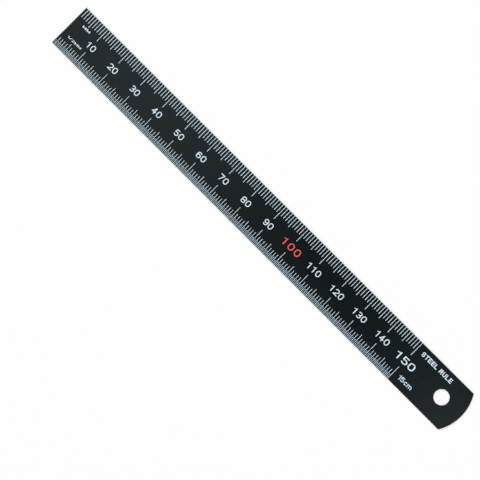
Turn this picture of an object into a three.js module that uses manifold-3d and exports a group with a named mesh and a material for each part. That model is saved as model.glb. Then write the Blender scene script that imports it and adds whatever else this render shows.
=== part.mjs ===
// Pocket steel rule, 150 mm on one face and 6 inch on the other.
//
// A thin black-finished steel blade carries its graduations and numerals as shallow etched
// recesses filled with ink. Every ink filling is a solid of its own that sits in its recess.
//
// Frame, in millimetres: the origin is on the underside, at the middle of the zero end.
// +X runs along the rule towards the hang hole, so x is also the millimetre reading, and +Z
// points up out of the metric face. The inch face is underneath.
import * as THREE from "three";
import { mergeVertices } from "three/addons/utils/BufferGeometryUtils.js";
import Module from "manifold-3d";

const wasm = await Module();
wasm.setup();

const INCH = 25.4;

// Blade
const LENGTH = 174.2;
const WIDTH = 15.6;
const THICKNESS = 0.5;
const END_RADIUS = 15.3; // convex end beside the hang hole
const HOLE_DIAMETER = 5;
const HOLE_FROM_END = 8.35;
const ARC_STEPS = 24;
const WELD = 1e-4; // vertices closer than this are one

// Etched recesses and the ink in them
const ETCH_DEPTH = 0.04;
const INK_GAP = 0.01; // clear space round the ink
const INK_SINK = 0.005; // ink surface below the steel surface
const LINE = 0.25; // width of a graduation line
const JOIN = 0.03; // thread of ink along the edge that makes one body of a metric scale

// Graduations: a line's length is that of the last step that divides its number
const MM_SCALE = {
  division: 1,
  count: 150,
  steps: [
    { every: 1, length: 3.25 },
    { every: 5, length: 4.1 },
    { every: 10, length: 5.3 },
  ],
};
const HALF_MM_SCALE = {
  division: 1,
  count: 150,
  steps: [
    { every: 1, length: 3.2 },
    { every: 5, length: 4.05 },
    { every: 10, length: 5.3 },
  ],
};
const DECIMAL_SCALE = {
  division: INCH / 10,
  count: 60,
  rail: 3.1, // distance from the edge of the line that runs along the scale
  steps: [
    { every: 1, length: 3.1 },
    { every: 5, length: 4.0 },
    { every: 10, length: 5.05 },
  ],
};
const BINARY_SCALE = {
  division: INCH / 8,
  count: 48,
  rail: 3.7,
  steps: [
    { every: 1, length: 3.7 },
    { every: 2, length: 4.15 },
    { every: 4, length: 4.9 },
    { every: 8, length: 5.7 },
  ],
};

// Numerals: strokes of one weight along a skeleton. The skeleton's own size is 0.56 by 0.8,
// and a numeral's weight, the space between its digits and the reach of the flag of its 1 are
// in the same unit.
const HALF = 0.28; // half the skeleton's width
const TOP = 0.8; // the skeleton's height
const LOOP = TOP / 4; // half the height of one loop of the 8
const BOWL = LOOP * 1.2; // the same for the bowls of the 2, 5, 6 and 9
const STEM_1 = 0.06; // how far right of the middle the stem of the 1 stands
const STEM_4 = 0.11;
const BAR_4 = 0.22; // height of the bar of the 4
const FLAG_WEIGHT = 0.7; // of the flag of the 1, as a share of its stem's
const TURN_PIECES = 4; // straight pieces in half a turn of a curved stroke
const SAME_POINT = 1e-6;

const METRIC_NUMERAL = { height: 2.1, stretch: 1, weight: 0.16, space: 0.16, rise: 0, flag: 0.3 };
const HUNDRED_NUMERAL = { height: 2.4, stretch: 1.12, weight: 0.16, space: 0.26, rise: 0, flag: 0.3 };
const LAST_NUMERAL = { height: 2.45, stretch: 1.21, weight: 0.16, space: 0.16, rise: 0, flag: 0.34 };
const INCH_NUMERAL = { height: 2.85, stretch: 1.4, weight: 0.22, space: 0.16, rise: 0.15, flag: 0.46 };
const THREE_DIGIT_SHIFT = 0.1; // a numeral of three digits stands this far right of its line
const INCH_1_SHIFT = -0.3; // the inch 1 stands left of its line, because of its flag

const BLACK_FINISH = { color: 0x1c2225, roughness: 0.42, metalness: 0.7 };
const WHITE_INK = { color: 0xe8eef1, roughness: 0.6, metalness: 0 };
const RED_INK = { color: 0xd63a28, roughness: 0.6, metalness: 0 };

// ---------------------------------------------------------------- solids

function solidOf(geometry) {
  geometry.deleteAttribute("normal");
  geometry.deleteAttribute("uv");
  const merged = mergeVertices(geometry, WELD);
  return new wasm.Manifold(
    new wasm.Mesh({
      numProp: 3,
      vertProperties: merged.attributes.position.array,
      triVerts: new Uint32Array(merged.index.array),
    }),
  );
}

// One solid of all the shapes, standing from bottom to top.
function slab(shapes, bottom, top, placement = new THREE.Matrix4()) {
  const options = { depth: top - bottom, bevelEnabled: false, curveSegments: ARC_STEPS };
  return shapes
    .map((shape) => new THREE.ExtrudeGeometry(shape, options))
    .map((geometry) => geometry.translate(0, 0, bottom).applyMatrix4(placement))
    .map(solidOf)
    .reduce((joined, solid) => joined.add(solid));
}

function meshOf(name, solid, finish) {
  const { vertProperties, triVerts } = solid.getMesh();
  const geometry = new THREE.BufferGeometry();
  geometry.setAttribute("position", new THREE.BufferAttribute(vertProperties, 3));
  geometry.setIndex(new THREE.BufferAttribute(triVerts, 1));
  geometry.computeVertexNormals();
  const mesh = new THREE.Mesh(geometry, new THREE.MeshStandardMaterial(finish));
  mesh.name = name;
  return mesh;
}

// ---------------------------------------------------------------- graduations

// The corners of a graduation line at x, from its root to its tip and back.
function lineCorners(x, half, root, tip) {
  return [[x - half, root], [x - half, tip], [x + half, tip], [x + half, root]];
}

// The outline of a scale: its lines, and what joins them, which is the rail along an inch scale
// or a thread of ink along the edge. Distances are counted inwards from the blade's long edge.
// side is 1 on the upper edge and -1 on the lower, and grow widens the ink into its recess.
function scaleOutline({ division, count, rail, steps }, side, grow) {
  const half = LINE / 2 + grow;
  const edge = grow > 0 ? -grow : INK_SINK;
  const near = rail ? rail - half : edge;
  const far = rail ? rail + half : JOIN + grow;
  const end = count * division + half;
  const lines = Array.from({ length: count }, (_, i) => ({
    x: (i + 1) * division,
    reach: grow + steps.filter(({ every }) => (i + 1) % every === 0).at(-1).length,
  }));
  const outwards = rail ? lines.flatMap(({ x }) => lineCorners(x, half, near, edge)) : [[end, near]];
  const inwards = lines
    .filter(({ reach }) => reach > far)
    .flatMap(({ x, reach }) => lineCorners(x, half, far, reach));
  const corners = [[edge, near], ...outwards, ...inwards.reverse(), [edge, far]];
  return new THREE.Shape(
    corners.map(([x, distance]) => new THREE.Vector2(x, side * (WIDTH / 2 - distance))),
  );
}

// ---------------------------------------------------------------- numerals

const at = (x, y) => new THREE.Vector2(x, y);

// Points along an elliptical arc as wide as the skeleton. Angles are in half turns.
function arc(middle, rise, from, to) {
  const curve = new THREE.EllipseCurve(0, middle, HALF, rise, from * Math.PI, to * Math.PI, from > to);
  return curve.getPoints(Math.ceil(Math.abs(to - from) * TURN_PIECES));
}

function loop(lowMiddle, highMiddle, rise) {
  return [...arc(highMiddle, rise, 0, 1), ...arc(lowMiddle, rise, 1, 2)];
}

// Each numeral's skeleton: open strokes and closed loops, as lists of points.
const STROKES = {
  0: { loops: [loop(HALF, TOP - HALF, HALF)] },
  1: { open: [[at(STEM_1, 0), at(STEM_1, TOP)]] },
  2: { open: [[...arc(TOP - BOWL, BOWL, 0.84, -0.2), at(-HALF, 0)], [at(-HALF, 0), at(HALF, 0)]] },
  3: {
    open: [
      [...arc(TOP - LOOP, LOOP, 0.75, -0.5), at(-0.1 * HALF, TOP / 2)],
      [at(-0.1 * HALF, TOP / 2), ...arc(LOOP, LOOP, 0.5, -0.75)],
    ],
  },
  4: {
    open: [
      [at(STEM_4, 0), at(STEM_4, TOP)],
      [at(STEM_4 / 2, 0.9 * TOP), at(-HALF, BAR_4), at(HALF, BAR_4)],
    ],
  },
  5: {
    open: [
      [at(0.75 * HALF, TOP), at(-0.8 * HALF, TOP), at(-0.85 * HALF, 0.62 * TOP)],
      arc(BOWL, BOWL, 0.66, -0.75),
    ],
  },
  6: {
    open: [[at(-HALF, BOWL), ...arc(TOP - HALF, HALF, 1, 0.3)]],
    loops: [loop(BOWL, BOWL, BOWL)],
  },
  7: { open: [[at(-HALF, TOP), at(HALF, TOP), at(-0.35 * HALF, 0)]] },
  8: { loops: [loop(LOOP, LOOP, LOOP), loop(TOP - LOOP, TOP - LOOP, LOOP)] },
  9: {
    open: [[at(HALF, TOP - BOWL), ...arc(HALF, HALF, 0, -0.7)]],
    loops: [loop(TOP - BOWL, TOP - BOWL, BOWL)],
  },
};

// The line of points at a distance to the left of another, with mitred corners.
function offsetLine(points, distance, closed) {
  const last = points.length - 1;
  return points.map((point, i) => {
    const before = points[i > 0 || !closed ? Math.max(i - 1, 0) : last];
    const after = points[i < last || !closed ? Math.min(i + 1, last) : 0];
    const along = i === 0 && !closed ? after.clone().sub(point) : point.clone().sub(before);
    const onward = i === last && !closed ? along.clone() : after.clone().sub(point);
    along.normalize();
    onward.normalize();
    const reach = distance / (1 + along.dot(onward));
    return at(point.x - (along.y + onward.y) * reach, point.y + (along.x + onward.x) * reach);
  });
}

// A stroke with square ends, which reach half its width past the skeleton's.
function openStroke(skeleton, halfWidth) {
  const points = skeleton.map((point) => point.clone());
  const overrun = (end, next) => end.add(end.clone().sub(next).setLength(halfWidth));
  overrun(points[0], skeleton[1]);
  overrun(points.at(-1), skeleton.at(-2));
  return new THREE.Shape([
    ...offsetLine(points, halfWidth, false),
    ...offsetLine(points, -halfWidth, false).reverse(),
  ]);
}

function closedStroke(skeleton, halfWidth) {
  const points = skeleton.filter((point, i) => point.distanceTo(skeleton.at(i - 1)) > SAME_POINT);
  const ring = new THREE.Shape(offsetLine(points, -halfWidth, true));
  ring.holes.push(new THREE.Path(offsetLine(points, halfWidth, true)));
  return ring;
}

function rectangle(left, bottom, right, top) {
  return new THREE.Shape([at(left, bottom), at(right, bottom), at(right, top), at(left, top)]);
}

// One digit centred on x and at its rise above the middle of the width, trimmed to its own box.
function digitSolid(digit, x, { height, stretch, weight, rise, flag }, grow, bottom, top, placement) {
  const size = height / (TOP + weight);
  const halfWidth = weight / 2 + grow / size;
  const halfFlag = (FLAG_WEIGHT * weight) / 2 + grow / size;
  const { open = [], loops = [] } = STROKES[digit];
  const flags = digit === "1" ? [[at(STEM_1, 0.93 * TOP), at(STEM_1 - flag, 0.8 * TOP)]] : [];
  const strokes = [
    ...open.map((path) => openStroke(path, halfWidth)),
    ...flags.map((path) => openStroke(path, halfFlag)),
    ...loops.map((path) => closedStroke(path, halfWidth)),
  ];
  const left = Math.min(-HALF, ...flags.map((path) => path.at(-1).x)) - halfWidth;
  const box = rectangle(left, -halfWidth, HALF + halfWidth, TOP + halfWidth);
  const seat = new THREE.Matrix4()
    .makeTranslation(x, rise - (TOP / 2) * size, 0)
    .scale(new THREE.Vector3(size * stretch, size, 1))
    .premultiply(placement);
  return slab(strokes, bottom, top, seat).intersect(slab([box], bottom, top, seat));
}

// ---------------------------------------------------------------- marks on a face

const FLAT = new THREE.Matrix4();
const TURNED_OVER = new THREE.Matrix4()
  .makeTranslation(0, 0, THICKNESS)
  .multiply(new THREE.Matrix4().makeRotationX(Math.PI));

// A mark's ink in the face's own frame, and the recess that it fills, cut at the face's place.
function etched(name, finish, placement, build) {
  return {
    ink: meshOf(name, build(0, THICKNESS - ETCH_DEPTH + INK_GAP, THICKNESS - INK_SINK, FLAT), finish),
    recess: build(INK_GAP, THICKNESS - ETCH_DEPTH, THICKNESS + INK_GAP, placement),
  };
}

function scaleMark(name, scale, side, placement) {
  return etched(name, WHITE_INK, placement, (grow, bottom, top, place) =>
    slab([scaleOutline(scale, side, grow)], bottom, top, place),
  );
}

function numeralMarks(name, number, x, type, finish, placement) {
  const { height, stretch, weight, space } = type;
  const pitch = ((2 * HALF + weight + space) * stretch * height) / (TOP + weight);
  const digits = String(number).split("");
  return digits.map((digit, i) => {
    const middle = x + (i - (digits.length - 1) / 2) * pitch;
    const place = digits.length > 1 ? "_" + "abc"[i] : "";
    return etched(name + number + place, finish, placement, (grow, bottom, top, seat) =>
      digitSolid(digit, middle, type, grow, bottom, top, seat),
    );
  });
}

function metricNumerals() {
  const marks = [];
  for (let cm = 1; cm <= 15; cm += 1) {
    const type = cm === 10 ? HUNDRED_NUMERAL : cm === 15 ? LAST_NUMERAL : METRIC_NUMERAL;
    const finish = cm === 10 ? RED_INK : WHITE_INK;
    const x = 10 * cm + (cm >= 10 ? THREE_DIGIT_SHIFT : 0);
    marks.push(...numeralMarks("numeral_mm_", 10 * cm, x, type, finish, FLAT));
  }
  return marks;
}

function inchNumerals() {
  const marks = [];
  for (let inch = 1; inch <= 6; inch += 1) {
    const x = inch * INCH + (inch === 1 ? INCH_1_SHIFT : 0);
    marks.push(...numeralMarks("numeral_inch_", inch, x, INCH_NUMERAL, WHITE_INK, TURNED_OVER));
  }
  return marks;
}

// ---------------------------------------------------------------- blade

function bladeOutline() {
  const turn = Math.asin(WIDTH / 2 / END_RADIUS);
  const outline = new THREE.Shape();
  outline.absarc(LENGTH - END_RADIUS, 0, END_RADIUS, -turn, turn, false);
  outline.lineTo(0, WIDTH / 2);
  outline.lineTo(0, -WIDTH / 2);
  outline.closePath();
  const hole = new THREE.Path();
  hole.absarc(LENGTH - HOLE_FROM_END, 0, HOLE_DIAMETER / 2, 0, 2 * Math.PI, true);
  outline.holes.push(hole);
  return outline;
}

// ---------------------------------------------------------------- the rule

const metricMarks = [
  scaleMark("scale_millimetre", MM_SCALE, 1, FLAT),
  scaleMark("scale_half_millimetre", HALF_MM_SCALE, -1, FLAT),
  ...metricNumerals(),
];
const inchMarks = [
  scaleMark("scale_decimal_inch", DECIMAL_SCALE, 1, TURNED_OVER),
  scaleMark("scale_binary_inch", BINARY_SCALE, -1, TURNED_OVER),
  ...inchNumerals(),
];

const blade = [...metricMarks, ...inchMarks].reduce(
  (steel, mark) => steel.subtract(mark.recess),
  slab([bladeOutline()], 0, THICKNESS),
);

const metricFace = new THREE.Group();
metricFace.add(...metricMarks.map((mark) => mark.ink));

const inchFace = new THREE.Group();
inchFace.position.z = THICKNESS;
inchFace.rotation.x = Math.PI;
inchFace.add(...inchMarks.map((mark) => mark.ink));

const rule = new THREE.Group();
rule.add(meshOf("blade", blade, BLACK_FINISH), metricFace, inchFace);

export default rule;
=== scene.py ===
import math

import bmesh
import bpy
from mathutils import Matrix, Vector
from mathutils.geometry import delaunay_2d_cdt


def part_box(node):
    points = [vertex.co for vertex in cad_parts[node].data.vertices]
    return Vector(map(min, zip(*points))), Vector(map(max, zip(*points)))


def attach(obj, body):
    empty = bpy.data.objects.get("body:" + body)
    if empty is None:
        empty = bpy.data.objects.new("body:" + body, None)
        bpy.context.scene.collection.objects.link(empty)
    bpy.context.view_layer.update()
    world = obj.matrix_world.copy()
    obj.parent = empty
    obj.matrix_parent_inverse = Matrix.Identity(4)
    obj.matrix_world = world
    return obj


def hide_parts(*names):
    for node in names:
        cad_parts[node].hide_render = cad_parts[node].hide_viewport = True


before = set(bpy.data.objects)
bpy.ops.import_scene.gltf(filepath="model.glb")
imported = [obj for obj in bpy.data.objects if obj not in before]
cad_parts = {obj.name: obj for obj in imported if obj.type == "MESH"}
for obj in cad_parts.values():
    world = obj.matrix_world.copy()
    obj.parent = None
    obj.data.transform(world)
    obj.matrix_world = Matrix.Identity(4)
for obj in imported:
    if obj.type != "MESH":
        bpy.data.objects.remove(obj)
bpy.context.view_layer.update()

MM = 0.001
INCH = 25.4

# ------------------------------------------------------------------ sizes

BLADE_LOW, BLADE_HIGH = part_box("blade")
LENGTH = BLADE_HIGH.x / MM
HALF_WIDTH = BLADE_HIGH.y / MM
THICKNESS = BLADE_HIGH.z / MM

INK_HEIGHT = 0.02  # how far the ink stands proud of the steel
INK_ROOT = 0.03  # how deep the ink goes into it
EDGE_ROUND = 0.06  # rounded edges of the blade, hole included
ROUND_STEPS = 3

END_RADIUS = 15.3
END_CORNER = 0.45
ZERO_CORNER = 0.15
HOLE_RADIUS = 2.5
HOLE_X = LENGTH - 8.35
CORNER_STEPS = 6
END_STEPS = 64
HOLE_STEPS = 96
CAP_GRID = 3.0  # spacing of the points inside the blade's faces
CAP_ROWS = 2  # rows of them on each side of the middle one
CAP_MARGIN = 1.0
EDGE_WEAR = 0.09  # how far the wear reaches in from the edges

LINE = 0.17  # width of a graduation line
FINE_LINE = 0.14
HAIRLINE = 0.1

# Camera: above the rule and a little towards the hang hole, with the rule running down to the
# right across the picture
CAMERA_PLACE = Vector((0.1195, -0.0080, 0.4174))
CAMERA_AIM = Vector((0.0872, -0.0098, BLADE_HIGH.z))
CAMERA_ROLL = math.radians(45.17)
CAMERA_LENS = 100

# ------------------------------------------------------------------ drawing on a face


def at(x, v):
    return Vector((x, v))


def rectangle(left, bottom, right, top):
    return [at(left, bottom), at(right, bottom), at(right, top), at(left, top)]


def clipped(polygon, normal, limit):
    """The part of a convex polygon where its distance along normal is at most limit."""
    kept = []
    for i, corner in enumerate(polygon):
        before = polygon[i - 1]
        inside, was_inside = (limit - p.dot(normal) for p in (corner, before))
        if (inside >= 0) != (was_inside >= 0):
            kept.append(before.lerp(corner, was_inside / (was_inside - inside)))
        if inside >= 0:
            kept.append(corner)
    return kept


def trimmed(polygons, left, bottom, right, top):
    """The polygons cut off at the sides of a box."""
    sides = (at(1, 0), right), (at(-1, 0), -left), (at(0, 1), top), (at(0, -1), -bottom)
    for normal, limit in sides:
        polygons = [clipped(polygon, normal, limit) for polygon in polygons]
        polygons = [polygon for polygon in polygons if len(polygon) > 2]
    return polygons


def extent(polygons):
    xs = [p.x for polygon in polygons for p in polygon]
    vs = [p.y for polygon in polygons for p in polygon]
    return min(xs), min(vs), max(xs), max(vs)


def fitted(polygons, left, bottom, right, top):
    """The polygons stretched to fill a box."""
    low_x, low_v, high_x, high_v = extent(polygons)
    across, up = (right - left) / (high_x - low_x), (top - bottom) / (high_v - low_v)
    return [
        [at(left + (p.x - low_x) * across, bottom + (p.y - low_v) * up) for p in polygon]
        for polygon in polygons
    ]


# ------------------------------------------------------------------ strokes of the lettering

HALF = 0.28  # half the width of a character's skeleton
TOP = 0.8  # its height
LOW_TOP = 0.56  # height of a small letter's skeleton
LOOP = TOP / 4  # half the height of one loop of the 8
BOWL = LOOP * 1.2  # the same for the bowls of the 2, 5, 6 and 9
ARCH = 0.22  # half the width of a small letter
TURN_PIECES = 16  # straight pieces in half a turn of a curved stroke
TOUCHING = 1e-6  # points closer than this are one
METRIC_WEIGHT = 0.13  # of a numeral's strokes, in the skeleton's unit
INCH_WEIGHT = 0.17
FLAG_WEIGHT = 0.7  # of the flag of the 1, as a share of its stem's


def arc(middle, rise, start, stop, reach=HALF, centre=0.0):
    """Points along an elliptical arc. Angles are in half turns."""
    pieces = math.ceil(abs(stop - start) * TURN_PIECES)
    angles = [math.pi * (start + (stop - start) * i / pieces) for i in range(pieces + 1)]
    return [at(centre + reach * math.cos(a), middle + rise * math.sin(a)) for a in angles]


def ring(low_middle, high_middle, rise):
    """A closed loop with straight sides between its two round ends."""
    return arc(high_middle, rise, 0, 1) + arc(low_middle, rise, 1, 2)


def arch(foot, centre):
    """One hump of a small n or m, from the top of the stem at foot down to the baseline."""
    reach = centre - foot
    curve = arc(LOW_TOP - ARCH, ARCH, 1, 0, reach, centre)
    return curve + [at(centre + reach, 0)]


# Each character's skeleton: open strokes, thinner ones, and loops that close on themselves.
OPEN = {
    "1": [[at(0.06, 0), at(0.06, TOP)]],
    "2": [arc(TOP - BOWL, BOWL, 0.84, -0.2) + [at(-HALF, 0)], [at(-HALF, 0), at(HALF, 0)]],
    "3": [
        arc(TOP - LOOP, LOOP, 0.78, -0.5) + [at(-0.2 * HALF, TOP / 2)],
        [at(-0.2 * HALF, TOP / 2)] + arc(LOOP, LOOP, 0.5, -0.78),
    ],
    "4": [[at(0.11, 0), at(0.11, TOP)], [at(0.055, 0.9 * TOP), at(-HALF, 0.22), at(HALF, 0.22)]],
    "5": [
        [at(0.75 * HALF, TOP), at(-0.8 * HALF, TOP), at(-0.85 * HALF, 0.56 * TOP)],
        arc(BOWL, BOWL, 0.72, -0.78),
    ],
    "6": [[at(-HALF, BOWL)] + arc(TOP - HALF, HALF, 1, 0.25)],
    "7": [[at(-HALF, TOP), at(HALF, TOP), at(-0.35 * HALF, 0)]],
    "9": [[at(HALF, TOP - BOWL)] + arc(HALF, HALF, 0, -0.75)],
    "/": [[at(-0.8 * HALF, -0.05), at(0.8 * HALF, TOP + 0.05)]],
    "A": [
        [at(-HALF, -0.1), at(0, TOP), at(HALF, -0.1)],
        [at(-0.6 * HALF, 0.3 * TOP), at(0.6 * HALF, 0.3 * TOP)],
    ],
    "E": [
        [at(0.85 * HALF, TOP), at(-HALF, TOP), at(-HALF, 0), at(0.85 * HALF, 0)],
        [at(-HALF, TOP / 2), at(0.7 * HALF, TOP / 2)],
    ],
    "I": [[at(0, 0), at(0, TOP)]],
    "L": [[at(-HALF, TOP), at(-HALF, 0), at(0.75 * HALF, 0)]],
    "M": [[at(-0.34, 0), at(-0.34, TOP), at(0, 0.1), at(0.34, TOP), at(0.34, 0)]],
    "N": [[at(-HALF, 0), at(-HALF, TOP), at(HALF, 0), at(HALF, TOP)]],
    "R": [
        [at(-HALF, 0), at(-HALF, TOP)] + arc(TOP - LOOP, LOOP, 0.5, -0.5, 0.8 * HALF, 0.04)
        + [at(-HALF, TOP / 2)],
        [at(0.04, TOP / 2), at(HALF, 0)],
    ],
    "S": [arc(TOP - LOOP, LOOP, 0.15, 1.5) + arc(LOOP, LOOP, 0.5, -0.85)[1:]],
    "T": [[at(-HALF, TOP), at(HALF, TOP)], [at(0, 0), at(0, TOP)]],
    "U": [[at(-HALF, TOP)] + arc(HALF, HALF, 1, 2) + [at(HALF, TOP)]],
    "c": [arc(LOW_TOP / 2, LOW_TOP / 2, 0.25, 1.75, ARCH)],
    "i": [[at(0, 0), at(0, LOW_TOP)], [at(0, TOP - 0.02), at(0, TOP + 0.02)]],
    "m": [[at(-0.4, 0), at(-0.4, LOW_TOP)], arch(-0.4, -0.2), arch(0.0, 0.2)],
    "n": [[at(-ARCH, 0), at(-ARCH, LOW_TOP)], arch(-ARCH, 0)],
}
THIN = {"1": [[at(0.06, 0.93 * TOP), at(-0.24, 0.8 * TOP)]]}
LOOPS = {
    "0": [ring(HALF, TOP - HALF, HALF)],
    "6": [ring(BOWL, BOWL, BOWL)],
    "8": [ring(LOOP, LOOP, LOOP), ring(TOP - LOOP, TOP - LOOP, LOOP)],
    "9": [ring(TOP - BOWL, TOP - BOWL, BOWL)],
}


def stroke(skeleton, half_weight, closed):
    """Convex pieces of a line of one weight along a skeleton, with mitred corners."""
    points = skeleton[:1]
    points += [p for last, p in zip(skeleton, skeleton[1:]) if (p - last).length > TOUCHING]
    if closed and (points[0] - points[-1]).length < TOUCHING:
        points.pop()
    if not closed:
        points[0] = points[0] + (points[0] - points[1]).normalized() * half_weight
        points[-1] = points[-1] + (points[-1] - points[-2]).normalized() * half_weight
    count = len(points)
    steps = [(points[(i + 1) % count] - p).normalized() for i, p in enumerate(points)]
    offsets = []
    for i in range(count):
        before = steps[i - 1] if closed or i > 0 else steps[0]
        after = steps[i] if closed or i < count - 1 else before
        both = before + after
        offsets.append(at(-both.y, both.x) * half_weight / (1 + before.dot(after)))
    pairs = [(i, (i + 1) % count) for i in range(count if closed else count - 1)]
    right = [p - offset for p, offset in zip(points, offsets)]
    left = [p + offset for p, offset in zip(points, offsets)]
    return [[right[i], right[k], left[k], left[i]] for i, k in pairs]


def character(letter, weight):
    """A character's strokes, trimmed at the height of the line and at its own width."""
    half_weight = weight / 2
    plain, thin, loops = (kind.get(letter, []) for kind in (OPEN, THIN, LOOPS))
    pieces = [q for path in plain for q in stroke(path, half_weight, False)]
    pieces += [q for path in thin for q in stroke(path, half_weight * FLAG_WEIGHT, False)]
    pieces += [q for path in loops for q in stroke(path, half_weight, True)]
    left, _, right, top = extent(plain + thin + loops)
    return trimmed(pieces, left - half_weight, -half_weight, right + half_weight, top + half_weight)


def words(text, weight, spacing=0.14, blank=0.5):
    """A line of characters side by side."""
    polygons = []
    pen = 0.0
    for letter in text:
        if letter == " ":
            pen += blank
            continue
        pieces = character(letter, weight)
        left, _, right, _ = extent(pieces)
        polygons += [[at(p.x - left + pen, p.y) for p in piece] for piece in pieces]
        pen += right - left + spacing
    return polygons


def label(text, x, v, width, height, weight):
    """Text that fills a box centred on (x, v)."""
    sides = x - width / 2, v - height / 2, x + width / 2, v + height / 2
    return fitted(words(text, weight), *sides)


# ------------------------------------------------------------------ scales


def tick(x, length, edge, width):
    """A line across the scale, from the blade's long edge inwards. edge is 1 or -1."""
    root, tip = edge * HALF_WIDTH, edge * (HALF_WIDTH - length)
    return rectangle(x - width / 2, min(root, tip), x + width / 2, max(root, tip))


def rail(start, stop, distance, edge):
    """A line along the scale, at a distance from the blade's long edge."""
    v = edge * (HALF_WIDTH - distance)
    return rectangle(start, v - HAIRLINE / 2, stop, v + HAIRLINE / 2)


def ticks(division, first, last, lengths, edge, width):
    """Lines from the division numbered first to the one numbered last. lengths is
    {every: length}, and the longest length whose every divides a line's number counts."""
    drawn = []
    for number in range(first, last + 1):
        length = max(reach for every, reach in lengths.items() if number % every == 0)
        drawn.append(tick(number * division, length, edge, width))
    return drawn


def millimetre_scale():
    return ticks(1, 1, 150, {1: 3.25, 5: 4.1, 10: 5.3}, 1, LINE)


def half_millimetre_scale():
    whole = ticks(1, 1, 150, {1: 3.2, 5: 4.05, 10: 5.3}, -1, FINE_LINE)
    halves = [tick(number + 0.5, 1.75, -1, HAIRLINE) for number in range(150)]
    return whole + halves


def decimal_inch_scale():
    tenths = ticks(INCH / 10, 1, 60, {1: 3.1, 5: 4.0, 10: 5.05}, 1, LINE)
    twentieths = ticks(INCH / 20, 1, 39, {1: 2.65}, 1, LINE)
    fiftieths = ticks(INCH / 50, 101, 149, {1: 2.17}, 1, HAIRLINE)
    rails = [
        rail(0, 6 * INCH, 3.1, 1),
        rail(0, 2 * INCH, 2.65, 1),
        rail(2 * INCH, 3 * INCH, 2.17, 1),
    ]
    return tenths + twentieths + fiftieths + rails


def binary_inch_scale():
    eighths = ticks(INCH / 8, 1, 48, {1: 3.7, 2: 4.15, 4: 4.9, 8: 5.7}, -1, LINE)
    coarse = ticks(INCH / 16, 49, 95, {1: 3.25}, -1, LINE)
    medium = ticks(INCH / 32, 1, 63, {1: 2.8, 2: 3.25}, -1, FINE_LINE)
    dense = ticks(INCH / 64, 129, 191, {1: 2.33, 2: 2.8, 4: 3.25}, -1, HAIRLINE)
    rails = [
        rail(0, 6 * INCH, 3.7, -1),
        rail(0, 6 * INCH, 3.25, -1),
        rail(0, 3 * INCH, 2.8, -1),
        rail(2 * INCH, 3 * INCH, 2.33, -1),
    ]
    return eighths + coarse + medium + dense + rails


# ------------------------------------------------------------------ meshes

SAME_POINT = 0.0005  # points of a drawing closer than this are one
DECIMALS = 3  # of the points of a drawing
SHARP = math.radians(35)  # edges of the blade that turn by more stay sharp
LEVEL = 0.999  # a face whose normal has at least this much z lies level
UP = Matrix.Identity(4)
UNDERNEATH = Matrix.Translation((0, 0, THICKNESS)) @ Matrix.Rotation(math.pi, 4, "X")
TO_METRES = Matrix.Scale(MM, 4)


def piece_from(name, vertices, faces, material, replaced=()):
    """A piece of the rule, from points in millimetres, riding on the blade's body."""
    mesh = bpy.data.meshes.new(name)
    mesh.from_pydata([TO_METRES @ Vector(v) for v in vertices], [], faces)
    mesh.materials.append(material)
    mesh.validate()
    piece = bpy.data.objects.new(name, mesh)
    bpy.context.scene.collection.objects.link(piece)
    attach(piece, "root")
    if replaced:
        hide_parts(*replaced)
    return piece


def holds(polygon, point):
    """Whether a point is inside a convex polygon whose corners run anticlockwise."""
    sides = [(polygon[i - 1], corner) for i, corner in enumerate(polygon)]
    return all((end - start).cross(point - start) >= 0 for start, end in sides)


def joined_outline(polygons):
    """The points and triangles of the area that the polygons cover together."""
    corners = [p for polygon in polygons for p in polygon]
    points = [at(round(p.x, DECIMALS), round(p.y, DECIMALS)) for p in corners]
    sides = []
    for polygon in polygons:
        start = len(sides)
        sides += [(start + i, start + (i + 1) % len(polygon)) for i in range(len(polygon))]
    merged, _, triangles, *_ = delaunay_2d_cdt(points, sides, [], 0, SAME_POINT, False)
    spans = []
    for polygon in polygons:
        low, _, high, _ = extent([polygon])
        spans.append((low, high, polygon))
    kept = []
    for triangle in triangles:
        middle = sum((merged[i] for i in triangle), at(0, 0)) / 3
        if any(low < middle.x < high and holds(polygon, middle) for low, high, polygon in spans):
            kept.append(triangle)
    return merged, kept


def ink(name, polygons, face, material, replaced=()):
    """The polygons as one layer of ink on a face, closed all round."""
    flat, triangles = joined_outline(polygons)
    top, bottom = THICKNESS, THICKNESS - INK_HEIGHT - INK_ROOT
    count = len(flat)
    vertices = [face @ Vector((p.x, p.y, h)) for h in (top, bottom) for p in flat]
    faces = []
    open_sides = {}
    for triangle in triangles:
        faces.append(list(triangle))
        faces.append([count + i for i in reversed(triangle)])
        for i, start in enumerate(triangle):
            end = triangle[(i + 1) % len(triangle)]
            if (end, start) in open_sides:
                del open_sides[end, start]
            else:
                open_sides[start, end] = True
    faces += [[start, count + start, count + end, end] for start, end in open_sides]
    return piece_from(name, vertices, faces, material, replaced)


def curve_points(x, v, radius, start, stop, steps):
    """Points along a circular arc, in degrees, both ends included."""
    angles = [math.radians(start + (stop - start) * i / steps) for i in range(steps + 1)]
    return [at(x + radius * math.cos(a), v + radius * math.sin(a)) for a in angles]


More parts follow.
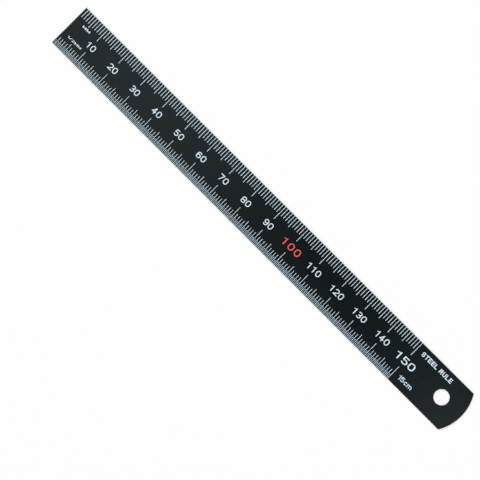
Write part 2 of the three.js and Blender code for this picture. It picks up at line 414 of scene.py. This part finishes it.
def blade_rim(inset):
    """The blade's outline drawn in by inset, anticlockwise from the lower zero corner."""
    centre_x = LENGTH - END_RADIUS
    corner_v = HALF_WIDTH - END_CORNER
    corner_x = math.sqrt((END_RADIUS - END_CORNER) ** 2 - corner_v**2)
    turn = math.degrees(math.atan2(corner_v, corner_x))
    zero_v = HALF_WIDTH - ZERO_CORNER
    zero, small, large = ZERO_CORNER - inset, END_CORNER - inset, END_RADIUS - inset
    corner_x += centre_x
    return (
        curve_points(ZERO_CORNER, -zero_v, zero, 180, 270, CORNER_STEPS)
        + curve_points(corner_x, -corner_v, small, 270, 360 - turn, CORNER_STEPS)[:-1]
        + curve_points(centre_x, 0, large, -turn, turn, END_STEPS)
        + curve_points(corner_x, corner_v, small, turn, 90, CORNER_STEPS)[1:]
        + curve_points(ZERO_CORNER, zero_v, zero, 90, 180, CORNER_STEPS)
    )


def hole_rim(inset):
    """The hang hole's outline widened by inset, clockwise."""
    return curve_points(HOLE_X, 0, HOLE_RADIUS + inset, 360, 0, HOLE_STEPS)[:-1]


def wall_levels():
    """(inset, height) up the blade's wall, from one face round to the other."""
    low, high = INK_HEIGHT, THICKNESS - INK_HEIGHT
    turns = [math.pi / 2 * i / ROUND_STEPS for i in range(ROUND_STEPS + 1)]
    lower = [(EDGE_ROUND * (1 - math.sin(t)), low + EDGE_ROUND * (1 - math.cos(t))) for t in turns]
    return lower + [(inset, low + high - height) for inset, height in reversed(lower)]


def cap_points(boundary):
    """Points inside the blade's face, clear of its boundary."""
    rows = range(-CAP_ROWS, CAP_ROWS + 1)
    columns = range(1, int(LENGTH / CAP_GRID))
    inner = [at(column * CAP_GRID, row * CAP_GRID) for column in columns for row in rows]
    hole = at(HOLE_X, 0)
    inner = [p for p in inner if (p - hole).length > HOLE_RADIUS]
    return [p for p in inner if min((p - b).length for b in boundary) > CAP_MARGIN]


def cap_drawing(inset):
    """The points and triangles of the blade's face, and the rim points that each point is."""
    outer, hole = blade_rim(inset), hole_rim(inset)
    boundary = outer + hole
    points = boundary + cap_points(boundary)
    loops = [list(range(len(outer))), list(range(len(outer), len(boundary)))[::-1]]
    drawn = delaunay_2d_cdt(points, [], loops, 1, TOUCHING, True)
    flat, _, triangles, origin, _, covered_by = drawn
    steel = [t for t, loop in zip(triangles, covered_by) if 0 in loop and 1 not in loop]
    return flat, steel, origin


def blade_walls(shape, levels):
    """Vertices round the outline and the hole at each level, and the walls between levels."""
    rings = []
    for inset, height in levels:
        lines = blade_rim(inset), hole_rim(inset)
        rings.append([[shape.verts.new((p.x, p.y, height)) for p in line] for line in lines])
    for below, above in zip(rings, rings[1:]):
        for low, high in zip(below, above):
            for i in range(len(low)):
                shape.faces.new((low[i - 1], low[i], high[i], high[i - 1]))
    return rings


def blade_cap(shape, drawing, rim, height, turned):
    """A flat face of the blade, from its outline's rim to its hole's."""
    flat, triangles, origin = drawing
    placed = []
    for p, sources in zip(flat, origin):
        on_rim = [source for source in sources if source < len(rim)]
        placed.append(rim[on_rim[0]] if on_rim else shape.verts.new((p.x, p.y, height)))
    for triangle in triangles:
        corners = [placed[i] for i in triangle]
        shape.faces.new(reversed(corners) if turned else corners)


def blade_mesh(material):
    """The steel blade: walls round the outline and the hole, and a flat face each way."""
    levels = wall_levels()
    shape = bmesh.new()
    rings = blade_walls(shape, levels)
    drawing = cap_drawing(levels[0][0])
    for end, turned in ((0, True), (-1, False)):
        outer, hole = rings[end]
        blade_cap(shape, drawing, outer + hole, levels[end][1], turned)
    loose = [v for v in shape.verts if not v.link_faces]
    bmesh.ops.delete(shape, geom=loose, context="VERTS")
    bmesh.ops.recalc_face_normals(shape, faces=shape.faces)
    shape.verts.index_update()
    vertices = [v.co.copy() for v in shape.verts]
    faces = [[v.index for v in face.verts] for face in shape.faces]
    shape.free()
    blade = piece_from("steel_blade", vertices, faces, material, ["blade"])
    blade.data.set_sharp_from_angle(angle=SHARP)
    for face in blade.data.polygons:
        face.use_smooth = abs(face.normal.z) < LEVEL


# ------------------------------------------------------------------ materials

BLACK = (0.0004, 0.0011, 0.0014, 1)
PALER_BLACK = (0.0012, 0.0024, 0.0030, 1)
BRUSHED = (0.004, 0.008, 0.010, 1)
BARE_STEEL = (0.11, 0.12, 0.125, 1)
BLUISH = (0.75, 0.95, 1.0, 1)  # tint of the black finish's reflections
WHITE_INK = (0.72, 0.87, 0.98, 1)
THIN_WHITE_INK = (0.62, 0.76, 0.88, 1)
RED_INK = (0.86, 0.105, 0.080, 1)
THIN_RED_INK = (0.74, 0.080, 0.062, 1)


class Graph:
    """A material's nodes, made one call at a time."""

    def __init__(self, name):
        self.material = bpy.data.materials.new(name)
        self.material.use_nodes = True
        self.tree = self.material.node_tree
        self.shader = self.tree.nodes["Principled BSDF"]

    def add(self, kind, inputs=(), **settings):
        """A node with its settings; inputs maps sockets to values or to other nodes' outputs."""
        node = self.tree.nodes.new(kind)
        for key, value in settings.items():
            setattr(node, key, value)
        for socket, value in dict(inputs).items():
            self.set(node, socket, value)
        return node

    def set(self, node, socket, value):
        if isinstance(value, bpy.types.NodeSocket):
            self.tree.links.new(value, node.inputs[socket])
        else:
            node.inputs[socket].default_value = value

    def position(self, scale):
        """Places on the object, in metres, stretched by scale along each axis."""
        place = self.add("ShaderNodeTexCoord").outputs["Object"]
        return self.add("ShaderNodeMapping", {"Vector": place, "Scale": scale}).outputs["Vector"]

    def noise(self, scale, detail=3.0, roughness=0.55):
        """Noise with features about a metre divided by scale across."""
        place = self.position(scale)
        inputs = {"Vector": place, "Scale": 1.0, "Detail": detail, "Roughness": roughness}
        return self.add("ShaderNodeTexNoise", inputs).outputs["Fac"]

    def ranged(self, value, low, high, to_low, to_high):
        names = ("Value", "From Min", "From Max", "To Min", "To Max")
        inputs = dict(zip(names, (value, low, high, to_low, to_high)))
        return self.add("ShaderNodeMapRange", inputs).outputs["Result"]

    def math(self, operation, first, second=0.0):
        return self.add("ShaderNodeMath", {0: first, 1: second}, operation=operation).outputs[0]

    def mixed(self, factor, first, second):
        inputs = {0: factor, 6: first, 7: second}
        return self.add("ShaderNodeMix", inputs, data_type="RGBA").outputs[2]

    def bump(self, height, distance, strength=1.0, normal=None):
        inputs = {"Height": height, "Distance": distance, "Strength": strength}
        if normal is not None:
            inputs["Normal"] = normal
        return self.add("ShaderNodeBump", inputs).outputs["Normal"]


def edge_nearness(graph, reach):
    """1 on the blade's outer edge and at the rim of its hole, falling to 0 at reach metres."""
    place = graph.add("ShaderNodeTexCoord").outputs["Object"]
    split = graph.add("ShaderNodeSeparateXYZ", {0: place})
    x, y = split.outputs[0], split.outputs[1]
    side = graph.math("SUBTRACT", HALF_WIDTH * MM, graph.math("ABSOLUTE", y))
    y_squared = graph.math("MULTIPLY", y, y)

    def from_centre(centre):
        """Distance from a point of the blade's middle line."""
        along = graph.math("SUBTRACT", x, centre)
        squares = graph.math("ADD", graph.math("MULTIPLY", along, along), y_squared)
        return graph.math("SQRT", squares)

    end_centre = from_centre((LENGTH - END_RADIUS) * MM)
    past = graph.math("GREATER_THAN", x, (LENGTH - END_RADIUS) * MM)
    round_end = graph.math("SUBTRACT", END_RADIUS * MM, graph.math("MULTIPLY", end_centre, past))
    rim = graph.math("SUBTRACT", from_centre(HOLE_X * MM), HOLE_RADIUS * MM)
    straight = graph.math("MINIMUM", side, x)
    curved = graph.math("MINIMUM", round_end, rim)
    nearest = graph.math("MINIMUM", straight, curved)
    return graph.ranged(nearest, 0.0, reach, 1.0, 0.0)


def black_finish():
    """Satin black on finely brushed steel, a little worn at the edges."""
    graph = Graph("black_finish")
    shader = graph.shader
    cloud = graph.noise((14, 40, 40), detail=2)
    grain = graph.noise((260, 9000, 9000), detail=4, roughness=0.6)
    speck = graph.noise((5200, 5200, 5200), detail=2)
    patch = graph.ranged(cloud, 0.3, 0.7, 0, 1)
    tone = graph.mixed(patch, BLACK, PALER_BLACK)
    grained = graph.mixed(graph.ranged(grain, 0.45, 0.75, 0, 0.3), tone, BRUSHED)
    nearness = edge_nearness(graph, EDGE_WEAR * MM)
    wear = graph.math("MULTIPLY", nearness, graph.ranged(speck, 0.45, 0.62, 0.1, 0.55))
    graph.set(shader, "Base Color", graph.mixed(wear, grained, BARE_STEEL))
    smear = graph.noise((30, 90, 90), detail=3)
    brushed = graph.ranged(grain, 0.3, 0.7, 0.21, 0.29)
    roughness = graph.math("ADD", brushed, graph.ranged(smear, 0.35, 0.7, 0, 0.05))
    graph.set(shader, "Roughness", roughness)
    graph.set(shader, "Specular IOR Level", 0.3)
    graph.set(shader, "Specular Tint", BLUISH)
    fine = graph.bump(speck, 0.000002, 0.5)
    graph.set(shader, "Normal", graph.bump(grain, 0.000003, 0.6, fine))
    return graph.material


def ink_finish(name, colour, thin_colour):
    """Opaque ink, slightly satin, with the uneven density of a filled etching."""
    graph = Graph(name)
    shader = graph.shader
    density = graph.noise((700, 700, 700), detail=4)
    tooth = graph.noise((9000, 9000, 9000), detail=3)
    thinness = graph.ranged(density, 0.35, 0.75, 0, 1)
    graph.set(shader, "Base Color", graph.mixed(thinness, colour, thin_colour))
    graph.set(shader, "Roughness", graph.ranged(tooth, 0.3, 0.7, 0.5, 0.66))
    graph.set(shader, "Specular IOR Level", 0.35)
    graph.set(shader, "Normal", graph.bump(tooth, 0.000003, 0.5))
    return graph.material


# ------------------------------------------------------------------ the rule


# The small lettering of each face: name, text, where its middle is along and across the face,
# width, height, and the weight of its strokes in the skeleton's unit
METRIC_LABELS = (
    ("millimetre", "MM", 5.0, 2.88, 3.1, 0.75, 0.17),
    ("half_millimetre", "1/2MM", 5.15, -2.75, 6.0, 0.75, 0.15),
    ("15_centimetre", "15cm", 154.75, -4.72, 5.5, 1.55, 0.14),
    ("metric_face", "STEEL RULE", 158.5, 5.5, 12.6, 1.5, 0.19),
)
INCH_LABELS = (
    ("inch_face", "STEEL RULE", 160.2, 6.0, 12.6, 1.5, 0.19),
    ("inch", "in", 156.1, 0.24, 2.3, 1.85, 0.13),
    ("stainless", "STAINLESS", 158.5, -3.7, 9.5, 1.2, 0.13),
    ("steel", "STEEL", 158.5, -5.75, 5.4, 1.2, 0.13),
)
# The numbers of the inch scales: where they start in inches, decimal scale and binary scale
INCH_SCALE_NUMBERS = ((0.25, "20", "32"), (2.25, "50", "64"), (3.18, "10", "16"))


def numeral(prefix, text, weight, face, material):
    """A numeral whose characters fill the boxes of its CAD nodes."""
    suffixes = ("_a", "_b", "_c") if len(text) > 1 else ("",)
    nodes = [prefix + text + suffix for suffix in suffixes[: len(text)]]
    polygons = []
    for letter, node in zip(text, nodes):
        low, high = (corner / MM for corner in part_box(node))
        bottom, top = sorted((low.y * face[1][1], high.y * face[1][1]))
        polygons += fitted(character(letter, weight), low.x, bottom, high.x, top)
    return ink(prefix + text + "_ink", polygons, face, material, nodes)


def build_rule():
    black = black_finish()
    white = ink_finish("white_ink", WHITE_INK, THIN_WHITE_INK)
    red = ink_finish("red_ink", RED_INK, THIN_RED_INK)
    blade_mesh(black)

    scales = (
        ("millimetre", millimetre_scale(), UP),
        ("half_millimetre", half_millimetre_scale(), UP),
        ("decimal_inch", decimal_inch_scale(), UNDERNEATH),
        ("binary_inch", binary_inch_scale(), UNDERNEATH),
    )
    for name, lines, face in scales:
        ink(name + "_lines", lines, face, white, replaced=["scale_" + name])

    for centimetre in range(1, 16):
        finish, slot = (red, "red_ink") if centimetre == 10 else (white, "white_ink")
        numeral("numeral_mm_", str(10 * centimetre), METRIC_WEIGHT, UP, finish)
    for inch in range(1, 7):
        numeral("numeral_inch_", str(inch), INCH_WEIGHT, UNDERNEATH, white)

    for name, *drawing in METRIC_LABELS:
        ink("label_" + name, label(*drawing), UP, white)
    for name, *drawing in INCH_LABELS:
        ink("label_" + name, label(*drawing), UNDERNEATH, white)
    for inches, upper, lower in INCH_SCALE_NUMBERS:
        for number, v in ((upper, 3.65), (lower, -2.76)):
            drawing = label(number, inches * INCH, v, 3.55, 1.1, 0.12)
            ink("label_scale_" + number, drawing, UNDERNEATH, white)


# ------------------------------------------------------------------ studio

PANEL_HEIGHT = 0.8


def studio_floor():
    """A pale floor, seen from above only, so that the underside can be looked at too."""
    mesh = bpy.data.meshes.new("floor")
    side, height = 12.0, -0.0001
    corners = ((-side, -side), (side, -side), (side, side), (-side, side))
    mesh.from_pydata([(x, y, height) for x, y in corners], [], [(0, 1, 2, 3)])
    floor = bpy.data.objects.new("floor", mesh)
    bpy.context.scene.collection.objects.link(floor)
    graph = Graph("floor_paint")
    graph.set(graph.shader, "Base Color", (0.36, 0.36, 0.36, 1))
    graph.set(graph.shader, "Emission Color", (1.0, 1.0, 1.0, 1))
    graph.set(graph.shader, "Emission Strength", 0.62)
    graph.set(graph.shader, "Roughness", 0.9)
    graph.set(graph.shader, "Specular IOR Level", 0.1)
    behind = graph.add("ShaderNodeNewGeometry").outputs["Backfacing"]
    clear = graph.add("ShaderNodeBsdfTransparent").outputs[0]
    sides = graph.add("ShaderNodeMixShader", {0: behind, 1: graph.shader.outputs[0], 2: clear})
    graph.tree.links.new(sides.outputs[0], graph.tree.nodes["Material Output"].inputs["Surface"])
    mesh.materials.append(graph.material)
    for ray in ("diffuse", "glossy", "transmission", "shadow"):
        setattr(floor, "visible_" + ray, False)


def soft_sun(name, strength, width, towards):
    """A broad even light that shines in the direction towards."""
    light = bpy.data.lights.new(name, "SUN")
    light.energy = strength
    light.angle = math.radians(width)
    lamp = bpy.data.objects.new(name, light)
    lamp.rotation_euler = Vector(towards).to_track_quat("-Z", "Y").to_euler()
    bpy.context.scene.collection.objects.link(lamp)


def soft_panel(name, power, size, place):
    """A square lamp that faces the blade, and whose reflection makes a sheen on part of it."""
    light = bpy.data.lights.new(name, "AREA")
    light.energy = power
    light.size = size
    lamp = bpy.data.objects.new(name, light)
    lamp.location = place
    lamp.rotation_euler = Vector((0, 0, -place[2])).to_track_quat("-Z", "Y").to_euler()
    bpy.context.scene.collection.objects.link(lamp)


def studio_air(strength, backdrop):
    """Even light from all round, and a pale backdrop behind the floor."""
    world = bpy.data.worlds.new("studio")
    world.use_nodes = True
    nodes, links = world.node_tree.nodes, world.node_tree.links
    light = nodes["Background"]
    light.inputs["Color"].default_value = (1.0, 1.0, 1.0, 1)
    light.inputs["Strength"].default_value = strength
    seen = nodes.new("ShaderNodeBackground")
    seen.inputs["Strength"].default_value = backdrop
    chosen = nodes.new("ShaderNodeMixShader")
    links.new(nodes.new("ShaderNodeLightPath").outputs["Is Camera Ray"], chosen.inputs[0])
    links.new(light.outputs[0], chosen.inputs[1])
    links.new(seen.outputs[0], chosen.inputs[2])
    links.new(chosen.outputs[0], nodes["World Output"].inputs["Surface"])
    bpy.context.scene.world = world


def studio_camera():
    back = (CAMERA_PLACE - CAMERA_AIM).normalized()
    upwards = Vector((-math.sin(CAMERA_ROLL), math.cos(CAMERA_ROLL), 0))
    right = upwards.cross(back).normalized()
    facing = Matrix((right, back.cross(right), back)).transposed().to_4x4()
    data = bpy.data.cameras.new("camera")
    data.lens = CAMERA_LENS
    data.clip_start, data.clip_end = 0.01, 50
    camera = bpy.data.objects.new("camera", data)
    camera.matrix_world = Matrix.Translation(CAMERA_PLACE) @ facing
    bpy.context.scene.collection.objects.link(camera)
    bpy.context.scene.camera = camera


def studio_lights():
    """Lights above the rule, and the same ones beneath it for the inch face."""
    for side, name in ((1, "above"), (-1, "below")):
        soft_sun("key_" + name, 2.2, 22, (0.85, -0.45, -side))
        soft_sun("fill_" + name, 1.7, 26, (-0.7, 0.75, -side))
        near_zero = (-0.15, 0.05 * side, PANEL_HEIGHT * side)
        soft_panel("sheen_zero_end_" + name, 0.36, 0.3, near_zero)
        near_hole = (0.33, -0.02 * side, PANEL_HEIGHT * side)
        soft_panel("sheen_hole_end_" + name, 0.21, 0.15, near_hole)


studio_camera()
build_rule()
studio_floor()
studio_air(0.06, 1.0)
studio_lights()
bpy.context.scene.view_settings.view_transform = "Standard"
